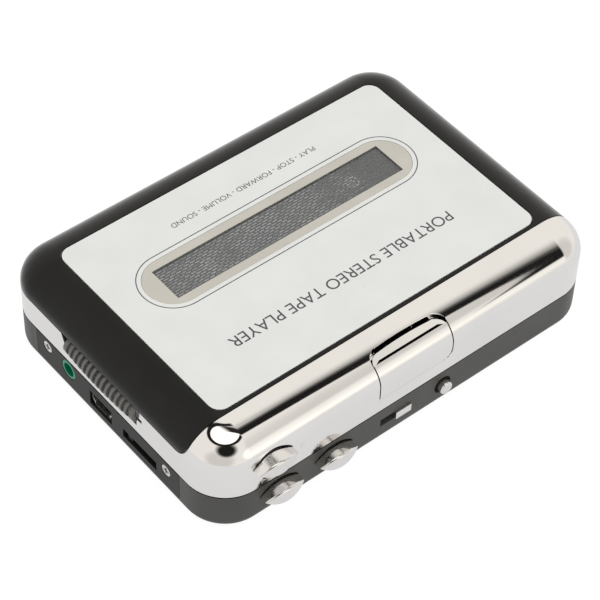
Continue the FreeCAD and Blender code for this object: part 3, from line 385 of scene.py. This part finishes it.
def lens_material():
    """Clear sheet: a faint tint straight through, with a reflection that grows at grazing angles."""
    material, shader = new_material("window_clear")
    fine = noise(material, LENS_GRAIN)
    shader.inputs["Base Color"].default_value = LENS_BASE
    shader.inputs["IOR"].default_value = LENS_IOR
    link(material, spread(material, fine, *LENS_ROUGHNESS), shader.inputs["Roughness"])
    bump(material, shader, fine, LENS_RELIEF)
    clear = add(material, "ShaderNodeBsdfTransparent", Color=LENS_TINT)
    edge = add(material, "ShaderNodeLayerWeight", Blend=0.5)
    curve = maths(material, "POWER", edge.outputs["Facing"], LENS_CURVE)
    share = add(material, "ShaderNodeMapRange", To_Min=LENS_MIRROR, To_Max=1.0)
    link(material, curve, share.inputs["Value"])
    mixed = add(material, "ShaderNodeMixShader")
    link(material, share.outputs["Result"], mixed.inputs["Fac"])
    link(material, clear.outputs["BSDF"], mixed.inputs[1])
    link(material, shader.outputs["BSDF"], mixed.inputs[2])
    output = material.node_tree.nodes["Material Output"]
    link(material, mixed.outputs["Shader"], output.inputs["Surface"])
    return material


def with_hub_mark(material, amount, centre):
    """Adds a faint ring and core to the amount, where a reel hub shows through the foil."""
    away = add(material, "ShaderNodeVectorMath")
    away.operation = "DISTANCE"
    away.inputs[1].default_value = centre
    link(material, object_place(material), away.inputs[0])
    radii = maths(material, "DIVIDE", away.outputs["Value"], HUB_MARK_R * MM)
    ring = grey_curve(material, radii, 0.0, 1.0, HUB_MARK_STOPS, "LINEAR")
    return maths(material, "MULTIPLY_ADD", ring, HUB_MARK_GLOW, amount)


def screen_material():
    """Grey foil behind the lens with staggered rows of thin raised dashes; their highlights are painted as a
    light colour that grows fainter towards +x.
    """
    material, shader = new_material("window_screen")
    dashes = add(material, "ShaderNodeTexBrick", Scale=1 / MM, Mortar_Size=DASH_GAP, Mortar_Smooth=DASH_SOFT,
                 Brick_Width=DASH_PITCH, Row_Height=DASH_ROW, Color1=(1, 1, 1, 1),
                 Color2=(DASH_WEAK, DASH_WEAK, DASH_WEAK, 1), Mortar=(0, 0, 0, 1))
    link(material, object_place(material), dashes.inputs["Vector"])
    patches = spread(material, noise(material, DASH_PATCH), DASH_PATCH_LOW, 1.0)
    along = add(material, "ShaderNodeSeparateXYZ")
    link(material, object_place(material), along.inputs["Vector"])
    # painted highlight: the dashes grow fainter towards +x
    highlight_fade = add(material, "ShaderNodeMapRange", From_Min=HIGHLIGHT_FADE_START * MM, From_Max=HIGHLIGHT_FADE_END * MM,
               To_Min=1.0, To_Max=HIGHLIGHT_FADE_TO)
    link(material, along.outputs["X"], highlight_fade.inputs["Value"])
    strength = maths(material, "MULTIPLY", patches, highlight_fade.outputs["Result"])
    amount = maths(material, "MULTIPLY", dashes.outputs["Color"], strength)
    foil_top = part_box("window_mesh")[1].z
    for side in (-1, 1):
        amount = with_hub_mark(material, amount, (side * HUB_X * MM, HUB_Y * MM, foil_top))
    # painted highlight: the dashes take the light colour, the foil keeps its own grey
    colour = tint(material, amount, SCREEN_GROUND, SCREEN_DASH_HIGHLIGHT)
    link(material, colour, shader.inputs["Base Color"])
    roughness = spread(material, noise(material, SCREEN_GRAIN), *SCREEN_ROUGHNESS)
    link(material, roughness, shader.inputs["Roughness"])
    bump(material, shader, dashes.outputs["Fac"], DASH_RELIEF)
    return material


def dress_nodes(materials):
    """Every CAD node takes the material of its slot in the record; the keys take satin chrome."""
    for subpart in frame["record"]["subparts"]:
        look = "chrome_keys" if subpart["node"] in SATIN_NODES else subpart["material_slot"]
        for slot in nodes[subpart["node"]].material_slots:
            slot.material = materials[look]


# ---------------------------------------------------------------- smooth mirror shading

def outline_turns():
    """Corner centre and direction of each point round the case in plan."""
    turns = []
    centres = ((1, 1), (-1, 1), (-1, -1), (1, -1))
    for quarter, (side_x, side_y) in enumerate(centres):
        for n in range(CORNER_STEPS + 1):
            angle = math.radians(90 * (quarter + n / CORNER_STEPS))
            centre = Vector((side_x * (HALF_X - CORNER), side_y * (HALF_Y - CORNER), 0))
            turns.append((centre, Vector((math.cos(angle), math.sin(angle), 0))))
    return turns


def roll_steps():
    """Reach, height and normal (outwards, upwards) down the rounded edge, from the flat top to the seam."""
    steps = [(CORNER - ROLL_OUT - FLAT_RIM, HEIGHT, 0.0, 1.0)]
    for n in range(ROLL_STEPS + 1):
        angle = math.pi / 2 * (1 - n / ROLL_STEPS)
        reach = CORNER - ROLL_OUT + ROLL_OUT * math.cos(angle)
        height = HEIGHT - ROLL_DOWN + ROLL_DOWN * math.sin(angle)
        normal = Vector((math.cos(angle) / ROLL_OUT, math.sin(angle) / ROLL_DOWN)).normalized()
        steps.append((reach, height, normal.x, normal.y))
    steps.append((CORNER, SIDE_FOOT, 1.0, 0.0))
    return steps


def true_surface():
    """The case's exact rounded surface, a hair outside it and hidden; it only lends its normals."""
    turns = outline_turns()
    points = []
    normals = []
    for reach, height, outwards, upwards in roll_steps():
        for centre, direction in turns:
            normal = direction * outwards + Vector((0, 0, upwards))
            points.append((centre + direction * reach + Vector((0, 0, height)) + normal * NORMAL_LIFT) * MM)
            normals.append(normal)
    count = len(turns)
    faces = []
    for row in range(len(points) // count - 1):
        for i in range(count):
            j = (i + 1) % count
            faces.append((row * count + i, row * count + count + i, row * count + count + j, row * count + j))
    faces.append(tuple(range(count)))
    mesh = bpy.data.meshes.new("true_surface")
    mesh.from_pydata(points, [], faces)
    mesh.normals_split_custom_set_from_vertices(normals)
    piece = bpy.data.objects.new("true_surface", mesh)
    bpy.context.scene.collection.objects.link(piece)
    piece.hide_render = True
    return piece


def smooth_shading():
    """The chrome skin borrows the exact surface's normals; its shape stays as it is."""
    borrow = nodes["chrome_frame"].modifiers.new("normals", "DATA_TRANSFER")
    borrow.object = true_surface()
    borrow.use_loop_data = True
    borrow.data_types_loops = {"CUSTOM_NORMAL"}
    borrow.loop_mapping = "POLYINTERP_LNORPROJ"
    borrow.use_max_distance = True
    borrow.max_distance = NORMAL_REACH * MM


# ---------------------------------------------------------------- printing

def add_piece(name, mesh, material, body):
    """Puts a mesh into the scene as a piece that rides on a body."""
    piece = bpy.data.objects.new(name, mesh)
    bpy.context.scene.collection.objects.link(piece)
    mesh.materials.append(material)
    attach(piece, body)


def as_mesh(shape, name):
    """Ends a bmesh and returns it as a mesh."""
    mesh = bpy.data.meshes.new(name)
    shape.to_mesh(mesh)
    shape.free()
    return mesh


def join_rings(shape, first, second):
    """Faces between two rings of points of the same number."""
    for i in range(len(first)):
        j = (i + 1) % len(first)
        shape.faces.new((first[i], first[j], second[j], second[i]))


def panel_top():
    """Height of the silver panel's face, in millimetres."""
    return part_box("door_panel")[1].z / MM


def text_mesh(name, words, half_width, middle_y):
    """Flat letters centred on x = 0, to be read from the hinge side."""
    curve = bpy.data.curves.new(name, "FONT")
    curve.body = words
    curve.align_x = "CENTER"
    curve.align_y = "CENTER"
    curve.extrude = PRINT_THICK / 2
    source = bpy.data.objects.new(name, curve)
    bpy.context.scene.collection.objects.link(source)
    bpy.context.view_layer.update()
    source.data.size = 2 * half_width / source.dimensions.x
    bpy.context.view_layer.update()
    mesh = bpy.data.meshes.new_from_object(source)
    bpy.data.objects.remove(source)
    lift = panel_top() + PRINT_LIFT - PRINT_THICK / 2
    place = Matrix.Translation((0, middle_y, lift))
    turn = Matrix.Rotation(math.pi, 4, "Z")
    mesh.transform(Matrix.Scale(MM, 4) @ place @ turn)
    return mesh


def stadium_points(half_x, radius):
    """Outline round two equal circles, in order."""
    points = []
    for side in (1, -1):
        for n in range(RING_STEPS + 1):
            angle = math.pi * (n / RING_STEPS - 0.5)
            x = side * (half_x + radius * math.cos(angle))
            y = WINDOW_Y + side * radius * math.sin(angle)
            points.append((x, y))
    return points


def band_mesh(name, inner, outer, low, high):
    """Closed flat band between two outlines with the same number of points."""
    shape = bmesh.new()
    rings = []
    for outline, height in ((inner, low), (outer, low), (outer, high), (inner, high)):
        rings.append([shape.verts.new((x * MM, y * MM, height * MM)) for x, y in outline])
    for n in range(len(rings)):
        join_rings(shape, rings[n], rings[(n + 1) % len(rings)])
    bmesh.ops.recalc_face_normals(shape, faces=shape.faces)
    return as_mesh(shape, name)


def add_printing(materials):
    """Two lines of generic words and a thin line round the window."""
    ink = materials["print_ink"]
    top = panel_top() + PRINT_LIFT
    lines = (("panel_title", TITLE, TITLE_HALF_WIDTH, TITLE_Y),
             ("panel_subtitle", SUBTITLE, SUBTITLE_HALF_WIDTH, SUBTITLE_Y))
    for name, words, half_width, y in lines:
        add_piece(name, text_mesh(name, words, half_width, y), ink, "door")
    inner = stadium_points(RING_X, RING_R - RING_WIDTH / 2)
    outer = stadium_points(RING_X, RING_R + RING_WIDTH / 2)
    ring = band_mesh("window_ring", inner, outer, top - PRINT_THICK, top)
    add_piece("window_ring", ring, ink, "door")


# ---------------------------------------------------------------- small trim

def case_outline(inset):
    """Plan of the case shrunk by inset, in order."""
    points = []
    for centre, direction in outline_turns():
        place = centre + direction * (CORNER - inset)
        points.append((place.x, place.y))
    return points


def add_seam_shade(materials):
    """Black band in the joint between the chrome frame and the rear housing: painted shade of the seam."""
    mesh = band_mesh("seam_shade_band", case_outline(SEAM_SHADE_OUT), case_outline(SEAM_SHADE_IN), SEAM_LOW,
                     SEAM_LOW + SEAM_SHADE_THICK)
    # painted shade: the black felt look stands in for the shade in the seam
    add_piece("seam_shade_band", mesh, materials["felt"], "case")


def add_marks(materials):
    """Raised marks beside the keys: a square, a triangle and a double triangle."""
    for name, middle_x, middle_z, kind in KEY_MARKS:
        shape = bmesh.new()
        for outline in mark_outlines(middle_x, middle_z, kind):
            back = [shape.verts.new((x * MM, MARK_BACK * MM, z * MM)) for x, z in outline]
            front = [shape.verts.new((x * MM, MARK_FRONT * MM, z * MM)) for x, z in outline]
            shape.faces.new(back)
            shape.faces.new(front)
            join_rings(shape, back, front)
        bmesh.ops.recalc_face_normals(shape, faces=shape.faces)
        edges = [e for e in shape.edges if all(v.co.y < (MARK_FRONT + MARK_NEAR) * MM for v in e.verts)]
        bmesh.ops.bevel(shape, geom=edges, offset=MARK_BEVEL * MM, segments=MARK_BEVEL_STEPS, affect="EDGES",
                        profile=0.5)
        add_piece(name, as_mesh(shape, name), materials["chrome_keys"], "case")


def mark_outlines(x, z, kind):
    """Outlines of one mark in x and z."""
    half = MARK_HALF
    if kind == "square":
        return [[(x - half, z - half), (x + half, z - half), (x + half, z + half), (x - half, z + half)]]
    middles = (x,) if kind == "triangle" else (x - half, x + half)
    return [[(middle - half, z - half), (middle + half, z), (middle - half, z + half)] for middle in middles]


def add_latch_crease_shade(materials):
    """Black line along the fold of the latch, with tapered ends: a painted dark reflection of the crease."""
    shape = bmesh.new()
    rows = []
    inside = CREASE_HALF - CREASE_TAPER
    for x, share in ((-CREASE_HALF, CREASE_TIP), (-inside, 1.0), (inside, 1.0), (CREASE_HALF, CREASE_TIP)):
        width = CREASE_WIDTH * share
        back = CREASE_Y + width
        back_z = CREASE_Z + CREASE_SLOPE * width
        corners = ((CREASE_Y, CREASE_Z), (back, back_z), (back, back_z + CREASE_THICK),
                   (CREASE_Y, CREASE_Z + CREASE_THICK))
        rows.append([shape.verts.new((x * MM, y * MM, z * MM)) for y, z in corners])
    for first, second in zip(rows, rows[1:]):
        join_rings(shape, first, second)
    shape.faces.new(rows[0])
    shape.faces.new(rows[-1])
    bmesh.ops.recalc_face_normals(shape, faces=shape.faces)
    # painted dark reflection: the black felt look stands in for the crease's dark reflection
    add_piece("latch_crease_shade", as_mesh(shape, "latch_crease_shade"), materials["felt"], "latch")


# ---------------------------------------------------------------- floor, light and camera

def add_floor():
    """White paper that gives most of its own light; mirrors see it dimmer than the camera does."""
    mesh = bpy.data.meshes.new("floor")
    half = FLOOR_HALF * MM
    corners = [(-half, -half, 0), (half, -half, 0), (half, half, 0), (-half, half, 0)]
    mesh.from_pydata(corners, [], [(0, 1, 2, 3)])
    floor = bpy.data.objects.new("floor", mesh)
    bpy.context.scene.collection.objects.link(floor)
    floor.location.z = -FLOOR_DROP * MM
    material, shader = new_material("floor_paper")
    colour = tint(material, noise(material, FLOOR_PATCH), FLOOR_DARK, FLOOR_LIGHT)
    link(material, colour, shader.inputs["Base Color"])
    shader.inputs["Roughness"].default_value = FLOOR_ROUGHNESS
    shader.inputs["Specular IOR Level"].default_value = 0.0
    shader.inputs["Emission Color"].default_value = (1, 1, 1, 1)
    seen = add(material, "ShaderNodeLightPath")
    glow = add(material, "ShaderNodeMapRange", To_Min=FLOOR_MIRRORED, To_Max=FLOOR_GLOW)
    link(material, seen.outputs["Is Camera Ray"], glow.inputs["Value"])
    link(material, glow.outputs["Result"], shader.inputs["Emission Strength"])
    mesh.materials.append(material)


def towards(world, direction, place):
    """Dot product of the view direction and a fixed one."""
    node = add(world, "ShaderNodeVectorMath")
    node.operation = "DOT_PRODUCT"
    node.inputs[1].default_value = direction
    link(world, place, node.inputs[0])
    return node.outputs["Value"]


def eased(world, source, curve):
    """Grey values along a curve, eased between its stops."""
    return grey_curve(world, source, *curve, "EASE")


def bearing(azimuth, elevation):
    """Direction at an azimuth from -y towards +x and an elevation, in degrees."""
    flat = math.cos(math.radians(elevation))
    turn = math.radians(azimuth)
    return (flat * math.sin(turn), -flat * math.cos(turn), math.sin(math.radians(elevation)))


def spot(world, place, position, outer, inner):
    """Soft round patch at an azimuth and elevation; outer and inner are its radii, all in degrees."""
    far = math.cos(math.radians(outer))
    near = math.cos(math.radians(inner))
    return eased(world, towards(world, bearing(*position), place), (0.0, 1.0, ((far, 0.0), (near, 1.0))))


def dark_strip(world, place, east):
    """Long dark strip on the right, with a soft upper edge and a sharp lower one."""
    upper = eased(world, towards(world, STRIP_NORMAL, place), STRIP_UPPER)
    shifted = maths(world, "ADD", towards(world, STRIP_EDGE, place), STRIP_SHIFT)
    lower = eased(world, shifted, STRIP_LOWER)
    across = maths(world, "MULTIPLY", upper, lower)
    above = eased(world, towards(world, (0, 0, 1), place), STRIP_ABOVE)
    right = eased(world, east, STRIP_EAST)
    return maths(world, "MULTIPLY", maths(world, "MULTIPLY", across, above), right)


def mirror_studio(world, place, east):
    """Strength of what mirrors see: white, with dark parts, an overhead lamp and a soft box."""
    strip = dark_strip(world, place, east)
    overhead = towards(world, LAMP, place)
    rim = maths(world, "MULTIPLY", eased(world, overhead, LAMP_RIM), eased(world, east, LAMP_RIM_EAST))
    below = spot(world, place, *LAMP_SHADE)
    lamp = eased(world, overhead, LAMP_DISC)
    shade = maths(world, "MULTIPLY", below, maths(world, "SUBTRACT", 1.0, lamp))
    dark = maths(world, "MAXIMUM", maths(world, "MAXIMUM", strip, rim), shade)
    for position, outer, inner, depth in SOFT_SHADES:
        soft = maths(world, "MULTIPLY", spot(world, place, position, outer, inner), depth)
        dark = maths(world, "MAXIMUM", dark, soft)
    left = maths(world, "SUBTRACT", 1.0, maths(world, "MULTIPLY", dark, STRIP_DEPTH))
    extra = maths(world, "MULTIPLY", spot(world, place, *SOFTBOX), SOFTBOX_EXTRA)
    extra = maths(world, "ADD", extra, maths(world, "MULTIPLY", lamp, LAMP_EXTRA))
    return maths(world, "MULTIPLY", left, maths(world, "ADD", extra, 1.0))


def add_world():
    """Plain white light, dimmer on the left; only mirrors see the patterned studio."""
    world = bpy.data.worlds.new("studio")
    bpy.context.scene.world = world
    world.use_nodes = True
    background = world.node_tree.nodes["Background"]
    place = add(world, "ShaderNodeTexCoord").outputs["Generated"]
    east = towards(world, (1, 0, 0), place)
    glossy = add(world, "ShaderNodeLightPath").outputs["Is Glossy Ray"]
    strength = add(world, "ShaderNodeMix")
    link(world, glossy, strength.inputs["Factor"])
    sideways = eased(world, east, WORLD_SIDES)
    link(world, maths(world, "MULTIPLY", sideways, WORLD_STRENGTH), strength.inputs["A"])
    link(world, mirror_studio(world, place, east), strength.inputs["B"])
    tone = add(world, "ShaderNodeMix")
    tone.data_type = "RGBA"
    colours = [socket for socket in tone.inputs if socket.type == "RGBA"]
    colours[0].default_value = WORLD_LIGHT
    colours[1].default_value = MIRROR_LIGHT
    mixed = [socket for socket in tone.outputs if socket.type == "RGBA"][0]
    link(world, glossy, tone.inputs["Factor"])
    link(world, mixed, background.inputs["Color"])
    link(world, strength.outputs["Result"], background.inputs["Strength"])


def add_camera():
    """Camera at the fixed place, turned by azimuth, elevation and roll."""
    data = bpy.data.cameras.new("camera")
    data.lens = CAMERA_LENS
    data.sensor_width = SENSOR
    data.clip_start = CLIP_START * MM
    data.clip_end = CLIP_END * MM
    camera = bpy.data.objects.new("camera", data)
    turn = Matrix.Rotation(math.radians(CAMERA_AZIMUTH), 4, "Z")
    tilt = Matrix.Rotation(math.radians(90 - CAMERA_ELEVATION), 4, "X")
    roll = Matrix.Rotation(math.radians(CAMERA_ROLL), 4, "Z")
    place = Matrix.Translation(Vector(CAMERA_PLACE) * MM)
    camera.matrix_world = place @ turn @ tilt @ roll
    bpy.context.scene.collection.objects.link(camera)
    bpy.context.scene.camera = camera


bpy.context.scene.view_settings.view_transform = "Standard"
add_camera()
add_floor()
add_world()
materials = make_materials()
dress_nodes(materials)
smooth_shading()
add_printing(materials)
add_seam_shade(materials)
add_latch_crease_shade(materials)
add_marks(materials)
